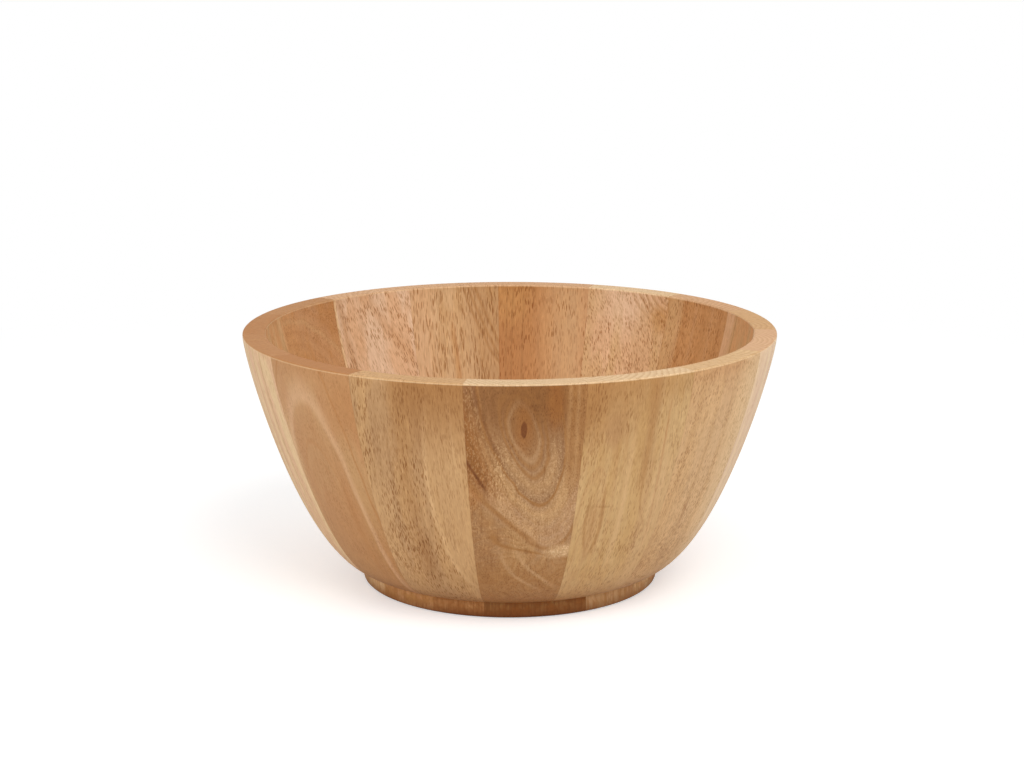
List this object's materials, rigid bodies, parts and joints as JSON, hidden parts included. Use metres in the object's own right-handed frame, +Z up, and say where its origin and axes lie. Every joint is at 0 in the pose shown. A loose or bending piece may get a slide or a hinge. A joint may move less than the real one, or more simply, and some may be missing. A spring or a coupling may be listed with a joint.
{
  "type": "wooden bowl",
  "caption": "Round turned wooden serving bowl: upright staves glued edge to edge in a ring on a glued-up base with a low round foot.",
  "frame": {"origin": "on the bowl's axis, at the level of the table that the foot stands on", "axes": "+Z up along the bowl's axis; the front faces -Y, and the strips of the base run along Y"},
  "size_m": [0.28, 0.28, 0.1345],
  "materials": {
    "pale_wood": "satin",
    "tan_wood": "satin",
    "pink_wood": "satin",
    "brown_wood": "satin",
    "orange_wood": "satin"
  },
  "bodies": {
    "root": {"stave_01": "brown_wood", "stave_02": "pale_wood", "stave_03": "tan_wood", "stave_04": "pink_wood", "stave_05": "tan_wood", "stave_06": "brown_wood", "stave_07": "tan_wood", "stave_08": "brown_wood", "stave_09": "pink_wood", "stave_10": "pink_wood", "stave_11": "brown_wood", "stave_12": "pale_wood", "stave_13": "pale_wood", "stave_14": "pink_wood", "stave_15": "tan_wood", "base_strip_1": "pale_wood", "base_strip_2": "orange_wood", "base_strip_3": "brown_wood", "base_strip_4": "orange_wood", "base_strip_5": "brown_wood", "base_strip_6": "orange_wood", "base_strip_7": "pale_wood"}
  },
  "joints": []
}
